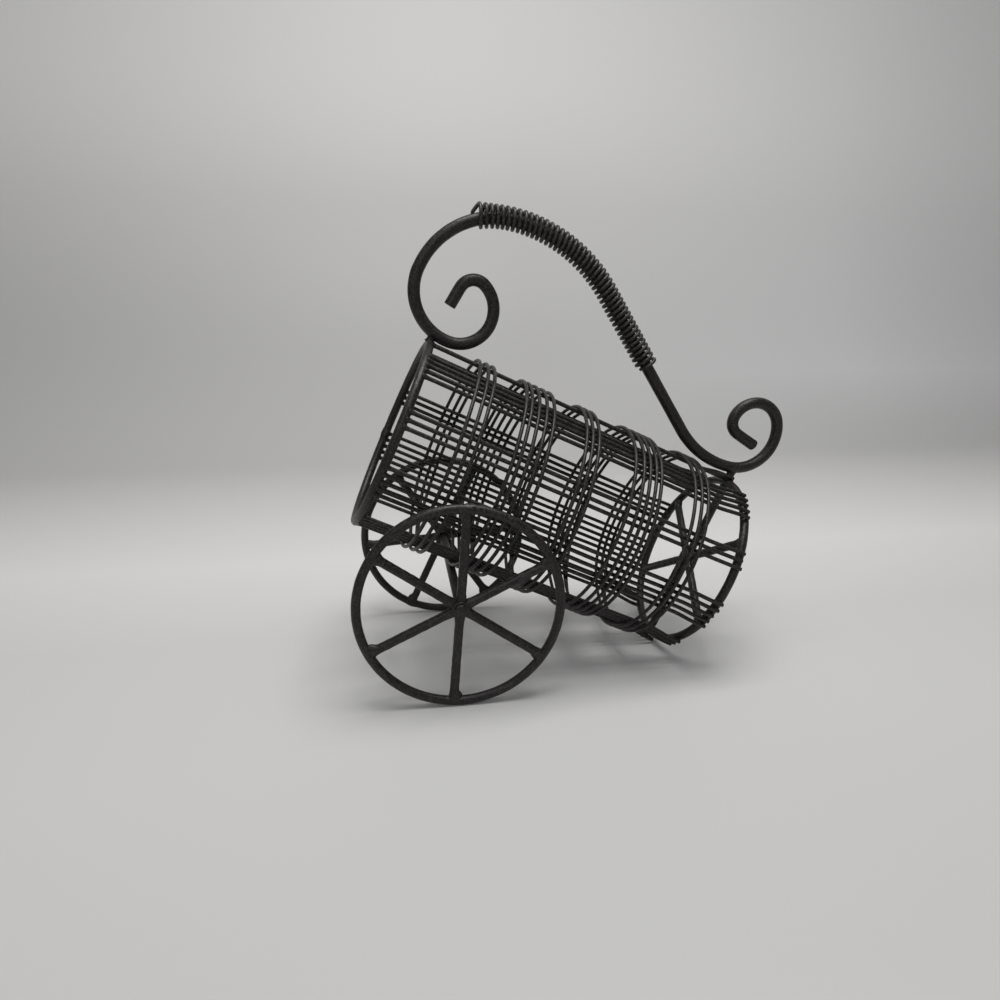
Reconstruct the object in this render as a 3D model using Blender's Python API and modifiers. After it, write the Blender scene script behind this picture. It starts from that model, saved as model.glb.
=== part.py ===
"""Wine bottle holder: a two-wheeled cart of painted iron rod with a tilted wire cage and a scrolled handle.

Metres, +Z up. X runs along the cart and the cage's mouth is at -X. The cage stands on its axle and on the rear tips of
its lowest bars. Every piece of the cage is placed in the cage's own frame, whose X axis runs from the front ring to the
rear rim; the frame is tilted so that the bars' tips touch the table.
"""
import math

import bmesh
import bpy
from mathutils import Matrix, Vector

# Wheels and axle
WHEEL_RADIUS = 0.0506
RIM_ROD = 0.0048
SPOKE_COUNT = 6
NEAR_SPOKE_LEAN = math.radians(4.8)
FAR_SPOKE_LEAN = math.radians(25.4)
WHEEL_CLEARANCE = 0.0014
HUB_DIAMETER = 0.0086
HUB_WIDTH = 0.0070
AXLE_DIAMETER = 0.0050
JOURNAL_DIAMETER = 0.0040
AXLE_HEAD_DIAMETER = 0.0066
AXLE_HEAD_THICKNESS = 0.0013
RUNNING_GAP = 0.0003

# Cage
CAGE_LENGTH = 0.1922
CAGE_RADIUS = 0.0520
FRONT_RING_INSET = 0.0010
REAR_RIM_INSET = 0.0014
BAR_WIRE = 0.0022
BAR_PITCH = 0.0040
BAR_GROUP_SIZES = (3, 5)
BAR_GROUP_PAIRS = 5
BAR_OVERHANG = 0.0012
FLARE_LENGTH = 0.0180
HOOP_WIRE = 0.0020
HOOP_GROUP_SIZES = (3, 5, 3, 5, 3)
HOOP_CENTRE_SHARES = (0.168, 0.326, 0.487, 0.670, 0.840)
HOOP_PITCH_SHARES = (0.0207, 0.0206, 0.0202, 0.0208, 0.0219)
AXLE_PLACE_SHARE = 0.3155
SEAT_GAP = 0.0003

# Handle
HANDLE_ROD = 0.0066
HANDLE_START_SHARE = 0.0117
HANDLE_HEADING = math.radians(82.49)
# Each step of the bending: a straight of a length, or a bend of a radius and an angle in degrees, clockwise positive
# as seen from the near side. Lengths and radii are shares of the cage's length.
HANDLE_BEND_SHARES = (
    (0.0572, 0.0),
    (0.0418, 105.0),
    (0.0927, 153.2),
    (0.1407, 96.2),
    (0.2283, 74.5),
    (0.4166, 46.4),
    (0.4650, 0.0),
    (0.2718, -43.9),
    (0.1161, -113.1),
    (0.0751, -143.1),
    (0.0401, -84.0),
    (0.0702, 0.0),
)
FRONT_POST_HEIGHT = 0.00114
POST_FOOT_DIAMETER = 0.0042
POST_HEAD_DIAMETER = 0.0060
COIL_DIAMETER = 0.0124
COIL_WIRE = 0.0018
COIL_CURLS = 44.5
COIL_START_SHARE = 0.3345
COIL_END_SHARE = 0.6025
# The first curls stand off the rod: larger, lifted off its line and slanted, less and less over a few curls
COIL_TAIL = 0.0042
COIL_PEAK = 0.0007
COIL_SWELL = 0.0006
COIL_SLANT = 0.0013
COIL_LIFT_SHARE = 0.95
COIL_LOOSE_CURLS = 2.3

# Fineness of the round shapes
RING_STEPS = 40
ROD_SIDES = 8
HUB_SIDES = 16
LOOP_POINTS = 20
LOOP_JOG_POINTS = 3
CURL_POINTS = 8
BEND_STEP = math.radians(12)
BEND_RUN_SHARE = 0.035
LEAST_WIRE_GAP = 0.0004

IRON_COLOUR = (0.028, 0.022, 0.020, 1.0)
WIRE_COLOUR = (0.045, 0.038, 0.034, 1.0)
GRIP_COLOUR = (0.036, 0.031, 0.029, 1.0)

COLLECTION_NAME = "wine_bottle_holder"
CUTTER_COLLECTION_NAME = "cutters"


def clear_scene():
    for item in list(bpy.data.objects):
        bpy.data.objects.remove(item, do_unlink=True)


def new_collection(name):
    collection = bpy.data.collections.new(name)
    bpy.context.scene.collection.children.link(collection)
    return collection


def move_to(item, collection):
    for holder in list(item.users_collection):
        holder.objects.unlink(item)
    collection.objects.link(item)


def iron(name, colour, roughness, metallic):
    material = bpy.data.materials.new(name + "_paint")
    material.use_nodes = True
    shader = material.node_tree.nodes["Principled BSDF"]
    shader.inputs["Base Color"].default_value = colour
    shader.inputs["Roughness"].default_value = roughness
    shader.inputs["Metallic"].default_value = metallic
    return material


def finish(item, name, collection, parent, colour=IRON_COLOUR, roughness=0.45, metallic=0.35):
    """Names the piece, gives it its paint, and hangs it on its parent."""
    item.name = name
    item.data.name = name
    item.parent = parent
    move_to(item, collection)
    item.data.materials.clear()
    item.data.materials.append(iron(name, colour, roughness, metallic))
    return item


def share_mesh_piece(data, name, collection, parent):
    item = bpy.data.objects.new(name, data)
    item.parent = parent
    collection.objects.link(item)
    return item


def new_empty(name, location, collection, parent=None):
    empty = bpy.data.objects.new(name, None)
    empty.location = location
    empty.parent = parent
    collection.objects.link(empty)
    return empty


def wire_curve(name, points, diameter, resolution, collection):
    """A round wire along the points, with closed ends."""
    curve = bpy.data.curves.new(name, "CURVE")
    curve.dimensions = "3D"
    curve.bevel_depth = diameter / 2
    curve.bevel_resolution = resolution
    curve.use_fill_caps = True
    spline = curve.splines.new("POLY")
    spline.points.add(len(points) - 1)
    for point, place in zip(spline.points, points):
        point.co = (place[0], place[1], place[2], 1.0)
    item = bpy.data.objects.new(name, curve)
    collection.objects.link(item)
    return item


def mesh_from_curve(item, name):
    """Turns a curve object into a closed mesh object at the same place."""
    bpy.context.view_layer.update()
    graph = bpy.context.evaluated_depsgraph_get()
    mesh = bpy.data.meshes.new_from_object(item.evaluated_get(graph))
    work = bmesh.new()
    work.from_mesh(mesh)
    bmesh.ops.remove_doubles(work, verts=work.verts, dist=RUNNING_GAP / 10)
    bmesh.ops.recalc_face_normals(work, faces=work.faces)
    work.to_mesh(mesh)
    work.free()
    result = bpy.data.objects.new(name, mesh)
    result.matrix_world = item.matrix_world.copy()
    for holder in item.users_collection:
        holder.objects.link(result)
    bpy.data.objects.remove(item, do_unlink=True)
    return result


def ring(name, radius, rod, collection):
    """A ring of rod about the X axis."""
    bpy.ops.mesh.primitive_torus_add(
        major_radius=radius, minor_radius=rod / 2, major_segments=RING_STEPS, minor_segments=ROD_SIDES)
    item = bpy.context.object
    item.data.transform(Matrix.Rotation(math.pi / 2, 4, "Y"))
    item.data.shade_smooth()
    item.name = name
    move_to(item, collection)
    return item


def cylinder(name, radius, length, sides, axis, collection):
    """A cylinder about the origin, along X, Y or Z."""
    bpy.ops.mesh.primitive_cylinder_add(vertices=sides, radius=radius, depth=length)
    item = bpy.context.object
    turns = {"X": Matrix.Rotation(math.pi / 2, 4, "Y"), "Y": Matrix.Rotation(math.pi / 2, 4, "X")}
    item.data.transform(turns.get(axis, Matrix.Identity(4)))
    item.name = name
    move_to(item, collection)
    return item


def as_cutter(item, parent, cutters):
    item.parent = parent
    move_to(item, cutters)
    item.hide_render = True
    item.display_type = "WIRE"
    return item


def boolean(item, operation, tool):
    modifier = item.modifiers.new(tool.name, "BOOLEAN")
    modifier.operation = operation
    modifier.object = tool
    modifier.solver = "EXACT"


def front_ring_radius():
    return CAGE_RADIUS - FRONT_RING_INSET


def rear_rim_radius():
    return CAGE_RADIUS - REAR_RIM_INSET


def hoop_radius():
    """Middle of a hoop's wire, halfway along one of its facets."""
    return CAGE_RADIUS + BAR_WIRE / 2 + SEAT_GAP + HOOP_WIRE / 2


def half_track():
    """The middle of a wheel stands this far out from the cart's middle, so that its rim clears the hoops."""
    return hoop_radius() + HOOP_WIRE / 2 + WHEEL_CLEARANCE + RIM_ROD / 2


def spoke_star(name, radius, lean, bored, parent, collection, cutters):
    """Six spokes on a hub about the X axis. Three rods run through the hub, the first leaning from upright."""
    star = cylinder(name, HUB_DIAMETER / 2, HUB_WIDTH, HUB_SIDES, "X", collection)
    reach = radius - RIM_ROD / 2 - SEAT_GAP
    for number in range(SPOKE_COUNT // 2):
        rod = cylinder(f"{name}_rod_{number + 1}", RIM_ROD / 2, reach * 2, ROD_SIDES, "Z", cutters)
        rod.data.transform(Matrix.Rotation(lean + number * 2 * math.pi / SPOKE_COUNT, 4, "X"))
        as_cutter(rod, parent, cutters)
        boolean(star, "UNION", rod)
    if bored:
        bore_radius = JOURNAL_DIAMETER / 2 + RUNNING_GAP
        bore = cylinder(f"{name}_bore", bore_radius, HUB_WIDTH * 2, HUB_SIDES, "X", cutters)
        as_cutter(bore, parent, cutters)
        boolean(star, "DIFFERENCE", bore)
    return finish(star, name, collection, parent)


def wheel(side_name, side, spoke_lean, root, collection, cutters):
    """A wheel whose empty lies on the axle's line. The wheel's own X axis is turned onto the axle."""
    centre = (0, side * half_track(), WHEEL_RADIUS + RIM_ROD / 2)
    pivot = new_empty(f"{side_name}_wheel_pivot", centre, collection, root)
    pivot.rotation_euler = (0, 0, math.pi / 2)
    rim = ring(f"{side_name}_wheel_rim", WHEEL_RADIUS, RIM_ROD, collection)
    finish(rim, rim.name, collection, pivot)
    spoke_star(f"{side_name}_wheel_spokes", WHEEL_RADIUS, spoke_lean, True, pivot, collection, cutters)
    return pivot


def axle(root, collection):
    """The axle: a rod with a journal and a peened head at each end, turned as one profile."""
    shoulder = half_track() - HUB_WIDTH / 2 - RUNNING_GAP
    head_foot = half_track() + HUB_WIDTH / 2 + RUNNING_GAP
    head_rim = head_foot + AXLE_HEAD_THICKNESS / 2
    head_top = head_foot + AXLE_HEAD_THICKNESS
    half = [
        (0, head_top),
        (JOURNAL_DIAMETER / 2, head_top),
        (AXLE_HEAD_DIAMETER / 2, head_rim),
        (AXLE_HEAD_DIAMETER / 2, head_foot),
        (JOURNAL_DIAMETER / 2, head_foot),
        (JOURNAL_DIAMETER / 2, shoulder),
        (AXLE_DIAMETER / 2, shoulder),
    ]
    profile = half + [(radius, -height) for radius, height in reversed(half)]
    mesh = bpy.data.meshes.new("axle")
    mesh.from_pydata([(x, 0, z) for x, z in profile], [(i, i + 1) for i in range(len(profile) - 1)], [])
    item = bpy.data.objects.new("axle", mesh)
    collection.objects.link(item)
    screw = item.modifiers.new("turn", "SCREW")
    screw.axis = "Z"
    screw.steps = HUB_SIDES
    screw.render_steps = HUB_SIDES
    screw.use_merge_vertices = True
    screw.merge_threshold = RUNNING_GAP / 10
    item.rotation_euler = (math.pi / 2, 0, 0)
    item.location = (0, 0, WHEEL_RADIUS + RIM_ROD / 2)
    return finish(item, "axle", collection, root)


def bar_rear_radius():
    """Middle of a bar where it passes over the rear rim."""
    return rear_rim_radius() + RIM_ROD / 2 + SEAT_GAP + BAR_WIRE / 2


def cage_pose():
    """Tilt of the cage and the place of its front ring's centre, from what it stands on.

    The second group of hoops rests on the axle, and the rear tips of the lowest bars rest on the table.
    """
    axle_height = WHEEL_RADIUS + RIM_ROD / 2
    axle_drop = hoop_radius() + HOOP_WIRE / 2 + SEAT_GAP + AXLE_DIAMETER / 2
    axle_place = CAGE_LENGTH * AXLE_PLACE_SHARE
    tip_radius = bar_rear_radius() + BAR_WIRE / 2
    tip_place = CAGE_LENGTH + BAR_OVERHANG
    drop = axle_drop - tip_radius
    run = tip_place - axle_place
    tilt = math.atan2(drop, run) + math.asin(axle_height / math.hypot(drop, run))
    front_x = axle_drop * math.sin(tilt) - axle_place * math.cos(tilt)
    front_z = axle_height + axle_drop * math.cos(tilt) + axle_place * math.sin(tilt)
    return tilt, (front_x, 0, front_z)


def bar_curve(name, reaches_over_rim):
    """One lengthwise bar at the top of the cage, in the cage's frame.

    It starts behind the front ring. A bar that reaches over the rear rim flares out to clear it and ends just past its
    middle; the others end at it.
    """
    start = RIM_ROD / 2 + SEAT_GAP
    if reaches_over_rim:
        flare_end = CAGE_LENGTH - RIM_ROD / 2
        flare_start = flare_end - FLARE_LENGTH
        tip = CAGE_LENGTH + BAR_OVERHANG
        rear = bar_rear_radius()
        places = [(start, CAGE_RADIUS), (flare_start, CAGE_RADIUS), (flare_end, rear), (tip, rear)]
    else:
        places = [(start, CAGE_RADIUS), (CAGE_LENGTH - RIM_ROD / 2 - SEAT_GAP, CAGE_RADIUS)]
    curve = bpy.data.curves.new(name, "CURVE")
    curve.dimensions = "3D"
    curve.bevel_depth = BAR_WIRE / 2
    curve.bevel_resolution = 1
    curve.use_fill_caps = True
    spline = curve.splines.new("POLY")
    spline.points.add(len(places) - 1)
    for point, (x, radius) in zip(spline.points, places):
        point.co = (x, 0, radius, 1.0)
    curve.materials.append(iron(name, WIRE_COLOUR, 0.5, 0.3))
    return curve


def cage_bars(frame, collection):
    """The lengthwise bars, in groups of three and five by turns round the cage."""
    long_bar = bar_curve("cage_bar", True)
    short_bar = bar_curve("cage_bar_under_post", False)
    group_count = BAR_GROUP_PAIRS * len(BAR_GROUP_SIZES)
    step = BAR_PITCH / CAGE_RADIUS
    number = 0
    for group in range(group_count):
        size = BAR_GROUP_SIZES[group % len(BAR_GROUP_SIZES)]
        for place in range(size):
            number += 1
            angle = group * 2 * math.pi / group_count + (place - (size - 1) / 2) * step
            under_post = group == 0 and place == size // 2
            bar = share_mesh_piece(
                short_bar if under_post else long_bar, f"cage_bar_{number:02d}", collection, frame)
            bar.rotation_euler = (angle, 0, 0)


def hoop_points(centre, pitch, turns):
    """A wire wound round the bars. Each loop lies flat and steps on to the next one at the bottom far side.

    One straight facet of each loop lies across the bottom, where the axle crosses.
    """
    radius = hoop_radius() / math.cos(math.pi / LOOP_POINTS)
    start = centre - (turns - 1) / 2 * pitch
    points = []
    for number in range(turns * LOOP_POINTS + 1):
        loop, place = divmod(number, LOOP_POINTS)
        jog = max(0, place - (LOOP_POINTS - LOOP_JOG_POINTS)) / LOOP_JOG_POINTS
        angle = math.pi - (number * 2 - 1) * math.pi / LOOP_POINTS
        points.append((start + (loop + jog) * pitch, -radius * math.sin(angle), radius * math.cos(angle)))
    return points


def hoop_windings(frame, collection):
    for number, (size, centre, pitch) in enumerate(
            zip(HOOP_GROUP_SIZES, HOOP_CENTRE_SHARES, HOOP_PITCH_SHARES), start=1):
        points = hoop_points(CAGE_LENGTH * centre, CAGE_LENGTH * pitch, size)
        name = f"hoop_winding_{number}"
        print_least_gap(name, points, HOOP_WIRE, LOOP_POINTS)
        winding = wire_curve(name, points, HOOP_WIRE, 1, collection)
        finish(winding, name, collection, frame, WIRE_COLOUR, 0.5, 0.3)


def print_least_gap(name, points, wire, per_turn):
    """Measures the least clear space between two turns of a wire, on points along it, and prints it."""
    places = [Vector(point) for point in points]
    fine = []
    for first, second in zip(places, places[1:]):
        fine += [first.lerp(second, step / 4) for step in range(4)]
    apart = per_turn * 2
    reach = per_turn * 6
    least = min(
        (fine[i] - fine[j]).length
        for i in range(len(fine))
        for j in range(i + apart, min(i + reach, len(fine))))
    gap = least - wire
    print(f"{name}: least gap between turns {gap * 1000:.2f} mm")
    if gap < LEAST_WIRE_GAP:
        print(f"{name}: the turns are too close")


def handle_path():
    """Points and headings along the handle's centre line, in the cage's frame, with the length run so far.

    It is laid out from its start, and then raised until the rod clears the front ring by the front post's height.
    """
    x = CAGE_LENGTH * HANDLE_START_SHARE
    z = 0.0
    heading = HANDLE_HEADING
    longest = CAGE_LENGTH * BEND_RUN_SHARE
    path = [(x, z, heading, 0.0)]
    run = 0.0
    for share, degrees in HANDLE_BEND_SHARES:
        size = CAGE_LENGTH * share
        turn = math.radians(degrees)
        length = abs(turn) * size if degrees else size
        steps = max(1, math.ceil(abs(turn) / BEND_STEP), math.ceil(length / longest) if degrees else 1)
        for _ in range(steps):
            chord = 2 * size * math.sin(abs(turn) / steps / 2) if degrees else length / steps
            heading -= turn / steps / 2
            x += chord * math.cos(heading)
            z += chord * math.sin(heading)
            heading -= turn / steps / 2
            run += length / steps
            path.append((x, z, heading, run))
    rise = front_ring_radius() + RIM_ROD / 2 + FRONT_POST_HEIGHT + HANDLE_ROD / 2 - lowest_over(path, 0)[1]
    return [(x, z + rise, heading, run) for x, z, heading, run in path]


def point_on_path(path, run):
    """The place and heading a given length along the handle."""
    for first, second in zip(path, path[1:]):
        if second[3] >= run:
            share = (run - first[3]) / (second[3] - first[3])
            return [a + (b - a) * share for a, b in zip(first[:3], second[:3])]
    return list(path[-1][:3])


def handle(path, frame, collection):
    points = [(x, 0, z) for x, z, _, _ in path]
    rod = wire_curve("handle", points, HANDLE_ROD, 2, collection)
    return finish(rod, "handle", collection, frame)


def coil_point(path, place, radius, angle, lift):
    """A point beside the handle's line: a length along it, then out by the lift, then round it."""
    x, z, heading = point_on_path(path, place)
    out = lift + radius * math.cos(angle)
    side = -radius * math.sin(angle)
    return (x - out * math.sin(heading), side, z + out * math.cos(heading))


def coil_points(path):
    """The grip's wire.

    A straight tail rises from the top of the rod to a peak, the first curls stand off the rod, and the last half curl
    closes in until it holds it.
    """
    total = path[-1][3]
    start = total * COIL_START_SHARE
    end = total * COIL_END_SHARE
    open_radius = (COIL_DIAMETER - COIL_WIRE) / 2
    held_radius = (HANDLE_ROD / 2 + SEAT_GAP + COIL_WIRE / 2) / math.cos(math.pi / CURL_POINTS)
    count = round(COIL_CURLS * CURL_POINTS)
    points = [coil_point(path, start + COIL_SLANT - COIL_TAIL, held_radius, 0, 0)]
    for number in range(count + 1):
        loose = math.exp(-((number / CURL_POINTS / COIL_LOOSE_CURLS) ** 2))
        closing = min(1, (count - number) / (CURL_POINTS / 2))
        play = (open_radius + COIL_SWELL * loose - held_radius) * closing
        radius = held_radius + play
        if number == 0:
            radius += COIL_PEAK
        angle = number * 2 * math.pi / CURL_POINTS
        place = start + (end - start) * number / count + COIL_SLANT * loose * math.cos(angle)
        points.append(coil_point(path, place, radius, angle, COIL_LIFT_SHARE * play * loose))
    return points


def handle_coil(path, frame, collection):
    points = coil_points(path)
    print_least_gap("handle_coil", points, COIL_WIRE, CURL_POINTS)
    coil = wire_curve("handle_coil", points, COIL_WIRE, 1, collection)
    return finish(coil, "handle_coil", collection, frame, GRIP_COLOUR, 0.5, 0.3)


def lowest_over(path, place):
    """The lowest point of the handle's centre line that lies straight over a place along the cage."""
    heights = []
    for (x1, z1, _, _), (x2, z2, _, _) in zip(path, path[1:]):
        if min(x1, x2) <= place <= max(x1, x2) and x1 != x2:
            heights.append(z1 + (z2 - z1) * (place - x1) / (x2 - x1))
    return place, min(heights)


def post(name, place, ring_radius, path, frame, collection, cutters):
    """A short welded post from a ring's top to the handle above it, hollowed to fit both."""
    top = lowest_over(path, place)
    rise = Vector((top[0] - place, 0, top[1] - ring_radius))
    bpy.ops.mesh.primitive_cone_add(
        vertices=HUB_SIDES, radius1=POST_FOOT_DIAMETER / 2, radius2=POST_HEAD_DIAMETER / 2, depth=rise.length)
    item = bpy.context.object
    turn = Vector((0, 0, 1)).rotation_difference(rise.normalized()).to_matrix().to_4x4()
    item.data.transform(Matrix.Translation(Vector((place, 0, ring_radius)) + rise / 2) @ turn)
    item.name = name
    saddle = ring(f"{name}_ring_cutter", ring_radius, RIM_ROD + SEAT_GAP * 2, cutters)
    saddle.data.transform(Matrix.Translation((place, 0, 0)))
    as_cutter(saddle, frame, cutters)
    boolean(item, "DIFFERENCE", saddle)
    near = [(px, 0, pz) for px, pz, _, _ in path if math.hypot(px - top[0], pz - top[1]) < POST_HEAD_DIAMETER * 3]
    rod = wire_curve(f"{name}_rod_cutter", near, HANDLE_ROD + SEAT_GAP * 2, 2, cutters)
    rod = mesh_from_curve(rod, f"{name}_rod_cutter")
    as_cutter(rod, frame, cutters)
    boolean(item, "DIFFERENCE", rod)
    return finish(item, name, collection, frame)


def lowest_and_middle(collection):
    """The lowest Z, and the middle of the X range, of every piece as built."""
    bpy.context.view_layer.update()
    graph = bpy.context.evaluated_depsgraph_get()
    lows = []
    for item in collection.objects:
        if item.type == "EMPTY":
            continue
        built = item.evaluated_get(graph)
        mesh = built.to_mesh()
        places = [item.matrix_world @ vertex.co for vertex in mesh.vertices]
        lows.append((min(p.x for p in places), max(p.x for p in places), min(p.z for p in places)))
        built.to_mesh_clear()
    left = min(low[0] for low in lows)
    right = max(low[1] for low in lows)
    return min(low[2] for low in lows), (left + right) / 2


def main():
    clear_scene()
    collection = new_collection(COLLECTION_NAME)
    cutters = new_collection(CUTTER_COLLECTION_NAME)
    root = new_empty("wine_cart", (0, 0, 0), collection)
    wheel("near", -1, NEAR_SPOKE_LEAN, root, collection, cutters)
    wheel("far", 1, FAR_SPOKE_LEAN, root, collection, cutters)
    axle(root, collection)

    tilt, front = cage_pose()
    frame = new_empty("cage_frame", front, collection, root)
    frame.rotation_euler = (0, tilt, 0)
    front_ring = ring("front_ring", front_ring_radius(), RIM_ROD, collection)
    finish(front_ring, "front_ring", collection, frame)
    rear_end = new_empty("rear_end", (CAGE_LENGTH, 0, 0), collection, frame)
    rear_rim = ring("rear_rim", rear_rim_radius(), RIM_ROD, collection)
    finish(rear_rim, "rear_rim", collection, rear_end)
    spoke_star("rear_spokes", rear_rim_radius(), 0, False, rear_end, collection, cutters)
    cage_bars(frame, collection)
    hoop_windings(frame, collection)

    path = handle_path()
    handle(path, frame, collection)
    handle_coil(path, frame, collection)
    post("front_post", 0, front_ring_radius(), path, frame, collection, cutters)
    post("rear_post", CAGE_LENGTH, rear_rim_radius(), path, frame, collection, cutters)

    lowest, middle = lowest_and_middle(collection)
    root.location = (-middle, 0, -lowest)
    bpy.context.view_layer.update()


main()
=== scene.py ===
# %% [markdown]
# # A wine bottle holder made of iron rod
# The object is a small cart: a tilted cage of thin bars and hoops lies on an axle with two wheels, and a
# scrolled rod with a coil of wire for a grip is its handle. Everything is round rod or wire that was cut,
# bent, welded and painted. So nearly every shape here is one idea, a round section carried along a path, and
# what makes the object look made rather than drawn is in the ends, the welds and the small unevenness.
#
# The frame comes first. It is the measured model, in metres, and every new piece is placed from it.

# %% Load the frame
import math

import bpy
import numpy as np
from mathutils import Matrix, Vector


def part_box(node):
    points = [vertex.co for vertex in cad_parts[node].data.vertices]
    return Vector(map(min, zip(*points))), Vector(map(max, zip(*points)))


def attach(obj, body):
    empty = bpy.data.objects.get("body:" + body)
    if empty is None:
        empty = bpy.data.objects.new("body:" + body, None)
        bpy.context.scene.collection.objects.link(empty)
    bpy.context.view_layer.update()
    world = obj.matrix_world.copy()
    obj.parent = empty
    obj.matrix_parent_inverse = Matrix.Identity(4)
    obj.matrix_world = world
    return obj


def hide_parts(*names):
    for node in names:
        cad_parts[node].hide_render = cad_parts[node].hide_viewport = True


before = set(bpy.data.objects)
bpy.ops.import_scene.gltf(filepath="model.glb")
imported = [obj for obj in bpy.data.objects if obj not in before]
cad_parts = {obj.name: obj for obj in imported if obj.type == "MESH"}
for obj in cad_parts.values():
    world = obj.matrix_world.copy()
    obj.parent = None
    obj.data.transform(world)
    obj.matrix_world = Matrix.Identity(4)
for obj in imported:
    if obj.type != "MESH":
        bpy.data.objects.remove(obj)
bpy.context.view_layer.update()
MM = 0.001

# %% [markdown]
# ## Where the cage and the wheels lie
# The cage is tilted, and so is everything that is welded to it. It is easiest to work out those pieces as if
# the cage lay level, with x along it from the front ring, y across it and z up out of it, and to turn the
# finished points into place. A ring's box is as long on one side of its middle as on the other, so the
# middles of the two end rings give the cage's line without any number being written down twice.

# %% The cage's own directions
def middle_of(node):
    """Middle of a node's box: half the sum of its lowest and highest corners."""
    low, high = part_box(node)
    return np.array((low + high) / 2)


FRONT = middle_of("front_ring")
REAR = middle_of("rear_rim")
CAGE_LENGTH = float(np.linalg.norm(REAR - FRONT))
ALONG = (REAR - FRONT) / CAGE_LENGTH
ACROSS = np.array((0.0, 1.0, 0.0))
OUT = np.cross(ALONG, ACROSS)
CAGE_AXES = (ALONG, ACROSS, OUT)


def in_cage(x, y, z):
    """Points of the level cage turned into place: front + x * along + y * across + z * out."""
    x, y, z = np.broadcast_arrays(x, y, z)
    return FRONT + x[..., None] * ALONG + y[..., None] * ACROSS + z[..., None] * OUT


tilt = math.degrees(math.asin(-ALONG[2]))
print("cage", round(CAGE_LENGTH / MM, 1), "mm long, tilted", round(tilt, 1), "degrees")

# %% [markdown]
# ## One section along a path
# A rod is a grid of points: one row for each place along the path, one column for each direction round it.
# The section stays square to the path. A reference direction that is known for each kind of path, such as
# straight out from the middle of a ring, keeps it from twisting, so no frame has to be passed on from point
# to point.

# %% Rods as grids
def unit(vectors):
    """Each vector divided by its own length."""
    return vectors / np.linalg.norm(vectors, axis=-1, keepdims=True)


def bell(distance, reach):
    """A bell curve: exp(-(distance / reach)^2)."""
    return np.exp(-((distance / reach) ** 2))


def eased(share):
    """A share from 0 to 1 that starts and ends gently: 3t^2 - 2t^3."""
    return 3 * share**2 - 2 * share**3


def rod(path, side, width, depth=None, sides=16, closed=False):
    """A section carried along a path, as a grid of rows by sides.

    The path's direction at a point is the difference of its neighbours. The first axis is the reference
    direction less its part along the path, and the second is square to both. A point of the section is the
    path's point plus width times cosine along the first axis plus depth times sine along the second.
    """
    ahead = unit(np.roll(path, -1, 0) - np.roll(path, 1, 0)) if closed else unit(np.gradient(path, axis=0))
    side = np.broadcast_to(side, path.shape)
    first = unit(side - (side * ahead).sum(-1, keepdims=True) * ahead)
    second = np.cross(ahead, first)
    turn = np.linspace(0, 2 * np.pi, sides, endpoint=False)
    width = np.broadcast_to(width, len(path))[:, None, None]
    depth = width if depth is None else np.broadcast_to(depth, len(path))[:, None, None]
    wide = width * np.cos(turn)[None, :, None] * first[:, None]
    deep = depth * np.sin(turn)[None, :, None] * second[:, None]
    return path[:, None] + wide + deep


def shell(grid, closed=False):
    """Points and faces of a grid whose columns close round. An open one gets a point in each end's middle."""
    rows, sides = grid.shape[:2]
    points = grid.reshape(-1, 3)
    row, column = np.meshgrid(np.arange(rows if closed else rows - 1), np.arange(sides), indexing="ij")
    here, after = row * sides, (row + 1) % rows * sides
    beside = (column + 1) % sides
    quads = np.stack([here + column, here + beside, after + beside, after + column], -1)
    faces = quads.reshape(-1, 4).tolist()
    if not closed:
        points = np.vstack([points, grid[0].mean(0), grid[-1].mean(0)])
        near, far = rows * sides, rows * sides + 1
        last = (rows - 1) * sides
        faces += [(near, (c + 1) % sides, c) for c in range(sides)]
        faces += [(far, last + c, last + (c + 1) % sides) for c in range(sides)]
    return points, faces


def stations(length, step, edge, bend=6):
    """Places along a rod: close together inside the rounding of each end, and a step apart between."""
    near_end = edge * (1 - np.cos(np.linspace(0, np.pi / 2, bend)))
    between = np.linspace(edge, length - edge, max(2, round(length / step)))[1:-1]
    return np.concatenate([near_end, between, length - near_end[::-1]])


def less_at_ends(places, length, edge):
    """How much thinner a rod is where its cut ends are rounded: the edge's radius less a quarter circle."""
    inside = np.clip(edge - np.minimum(places, length - places), 0, edge)
    return edge - np.sqrt(np.maximum(edge**2 - inside**2, 0))


def rounded_ends(rows, shares):
    """Thickness of a wire's rows: the given shares from each end inwards, and the last of them between."""
    from_end = np.minimum(np.arange(rows), np.arange(rows)[::-1])
    return np.array(shares)[np.minimum(from_end, len(shares) - 1)]


# %% [markdown]
# ## Unevenness
# Hand-painted and hand-welded iron is never quite round. A field that wanders smoothly through space does
# for all of it. The mean of a few plane waves in seeded directions gives the same field every time, and it
# can be worked out for any array of points at once. A bead of weld is a ball that the same field makes
# knobbly.

# %% A field that wanders
WAVES = 10
WAVE_SPREAD = (0.7, 1.5)
WAVE_GAIN = 1.8
LEAST_RADIUS = 0.05 * MM


def wander(points, wavelength, seed):
    """Mean of cosine waves in seeded directions, of about the given wavelength, raised to about -1 to 1."""
    chance = np.random.default_rng(seed)
    direction = unit(chance.normal(size=(WAVES, 3)))
    number = direction * chance.uniform(*WAVE_SPREAD, (WAVES, 1)) * 2 * np.pi / wavelength
    phase = chance.uniform(0, 2 * np.pi, WAVES)
    return np.cos(points @ number.T + phase).mean(-1) * WAVE_GAIN


def uneven(grid, amount, wavelength, seed):
    """Moves each point in or out from the middle of its row by the wandering field, at most by the amount."""
    middle = grid.mean(1, keepdims=True)
    outward = grid - middle
    size = np.linalg.norm(outward, axis=-1, keepdims=True)
    shift = np.clip(wander(grid, wavelength, seed), -1, 1)[..., None] * amount
    return middle + outward * (1 + shift / np.maximum(size, LEAST_RADIUS))


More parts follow.
